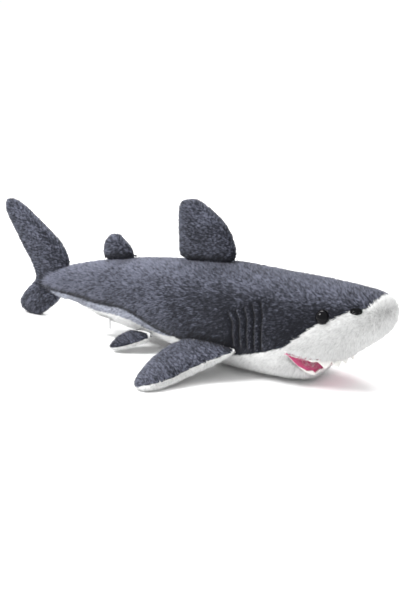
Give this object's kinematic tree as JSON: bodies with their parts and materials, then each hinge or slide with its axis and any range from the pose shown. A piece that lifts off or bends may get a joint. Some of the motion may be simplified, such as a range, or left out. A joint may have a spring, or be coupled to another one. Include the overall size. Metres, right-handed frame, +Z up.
{
  "type": "plush shark",
  "caption": "Soft plush shark lying on its belly, slate-grey back and white belly, with stuffed fins, a forked tail fin, gill tucks, black eyes and an open pink mouth with felt teeth.",
  "frame": {"origin": "centre of the bounding box, on the plane the belly rests on", "axes": "+X from tail to nose, +Y towards the shark's left side, +Z up"},
  "size_m": [0.4999, 0.2738, 0.1635],
  "materials": {
    "plush_grey": "short-pile plush, slate grey, matt with a soft sheen",
    "plush_white": "short-pile plush, off-white, matt",
    "velour_pink": "smooth velour mouth lining, pink",
    "felt_white": "pressed felt, white",
    "filling": "polyester fibre filling, white",
    "eye_black": "polished black plastic",
    "washer_plastic": "white moulded plastic",
    "thread_black": "black embroidery thread",
    "label_satin": "blank white satin ribbon"
  },
  "bodies": {
    "trunk": {"back_panel_left": "plush_grey", "back_panel_right": "plush_grey", "belly_panel": "plush_white", "snout_panel": "plush_white", "trunk_filling": "filling", "palate_lining": "velour_pink", "upper_teeth": "felt_white", "eye_left": "eye_black", "eye_washer_left": "washer_plastic", "nostril_left": "thread_black", "gill_tuck_left_1": "thread_black", "gill_tuck_left_2": "thread_black", "gill_tuck_left_3": "thread_black", "gill_tuck_left_4": "thread_black", "gill_tuck_left_5": "thread_black", "eye_right": "eye_black", "eye_washer_right": "washer_plastic", "nostril_right": "thread_black", "gill_tuck_right_1": "thread_black", "gill_tuck_right_2": "thread_black", "gill_tuck_right_3": "thread_black", "gill_tuck_right_4": "thread_black", "gill_tuck_right_5": "thread_black"},
    "rear_body": {"rear_back_panel_left": "plush_grey", "rear_back_panel_right": "plush_grey", "rear_belly_panel": "plush_white", "rear_filling": "filling", "care_label": "label_satin"},
    "tail_stock": {"tail_back_panel_left": "plush_grey", "tail_back_panel_right": "plush_grey", "tail_belly_panel": "plush_white", "tail_filling": "filling"},
    "caudal_fin": {"caudal_fin_skin_left": "plush_grey", "caudal_fin_skin_right": "plush_grey", "caudal_fin_filling": "filling"},
    "jaw": {"jaw_panel": "plush_white", "jaw_filling": "filling", "jaw_lining": "velour_pink", "lower_teeth": "felt_white"},
    "dorsal_fin": {"dorsal_fin_skin_left": "plush_grey", "dorsal_fin_skin_right": "plush_grey", "dorsal_fin_filling": "filling"},
    "second_dorsal_fin": {"second_dorsal_fin_skin_left": "plush_grey", "second_dorsal_fin_skin_right": "plush_grey", "second_dorsal_fin_filling": "filling"},
    "pectoral_fin_left": {"pectoral_fin_left_top": "plush_grey", "pectoral_fin_left_underside": "plush_white", "pectoral_fin_left_filling": "filling"},
    "pectoral_fin_right": {"pectoral_fin_right_top": "plush_grey", "pectoral_fin_right_underside": "plush_white", "pectoral_fin_right_filling": "filling"},
    "pelvic_fin_left": {"pelvic_fin_left_top": "plush_grey", "pelvic_fin_left_underside": "plush_white", "pelvic_fin_left_filling": "filling"},
    "pelvic_fin_right": {"pelvic_fin_right_top": "plush_grey", "pelvic_fin_right_underside": "plush_white", "pelvic_fin_right_filling": "filling"}
  },
  "joints": [
    {"name": "waist_bend", "type": "hinge", "parent": "trunk", "child": "rear_body", "pos_m": [-0.03, 0, 0.05], "axis": [0, 0, 1], "range_deg": [-20, 20], "stiffness_Nm_per_rad": 0.2},
    {"name": "tail_sway", "type": "hinge", "parent": "rear_body", "child": "tail_stock", "pos_m": [-0.138, 0, 0.048], "axis": [0, 0, 1], "range_deg": [-25, 25], "stiffness_Nm_per_rad": 0.08},
    {"name": "caudal_flex", "type": "hinge", "parent": "tail_stock", "child": "caudal_fin", "pos_m": [-0.175, 0, 0.045], "axis": [0, 0, 1], "range_deg": [-35, 35], "stiffness_Nm_per_rad": 0.04},
    {"name": "jaw_open", "type": "hinge", "parent": "trunk", "child": "jaw", "pos_m": [0.156, 0, 0.036], "axis": [0, 1, 0], "range_deg": [-10, 12], "stiffness_Nm_per_rad": 0.1},
    {"name": "dorsal_flop", "type": "hinge", "parent": "trunk", "child": "dorsal_fin", "pos_m": [-0.003, 0, 0.09998], "axis": [0.9951, 0, 0.0986], "range_deg": [-45, 45], "stiffness_Nm_per_rad": 0.06},
    {"name": "second_dorsal_flop", "type": "hinge", "parent": "rear_body", "child": "second_dorsal_fin", "pos_m": [-0.108, 0, 0.08254], "axis": [0.9808, 0, 0.1952], "range_deg": [-45, 45], "stiffness_Nm_per_rad": 0.02},
    {"name": "pectoral_left_flap", "type": "hinge", "parent": "trunk", "child": "pectoral_fin_left", "pos_m": [0.04, 0.05017, 0.0312], "axis": [0.9991, 0.0432, 0], "range_deg": [-25, 60], "stiffness_Nm_per_rad": 0.1},
    {"name": "pectoral_right_flap", "type": "hinge", "parent": "trunk", "child": "pectoral_fin_right", "pos_m": [0.04, -0.05017, 0.0312], "axis": [-0.9991, 0.0432, 0], "range_deg": [-25, 60], "stiffness_Nm_per_rad": 0.1},
    {"name": "pelvic_left_flap", "type": "hinge", "parent": "rear_body", "child": "pelvic_fin_left", "pos_m": [-0.045, 0.03075, 0.01976], "axis": [0.9853, 0.1708, 0], "range_deg": [-15, 45], "stiffness_Nm_per_rad": 0.02},
    {"name": "pelvic_right_flap", "type": "hinge", "parent": "rear_body", "child": "pelvic_fin_right", "pos_m": [-0.045, -0.03075, 0.01976], "axis": [-0.9853, 0.1708, 0], "range_deg": [-15, 45], "stiffness_Nm_per_rad": 0.02}
  ]
}
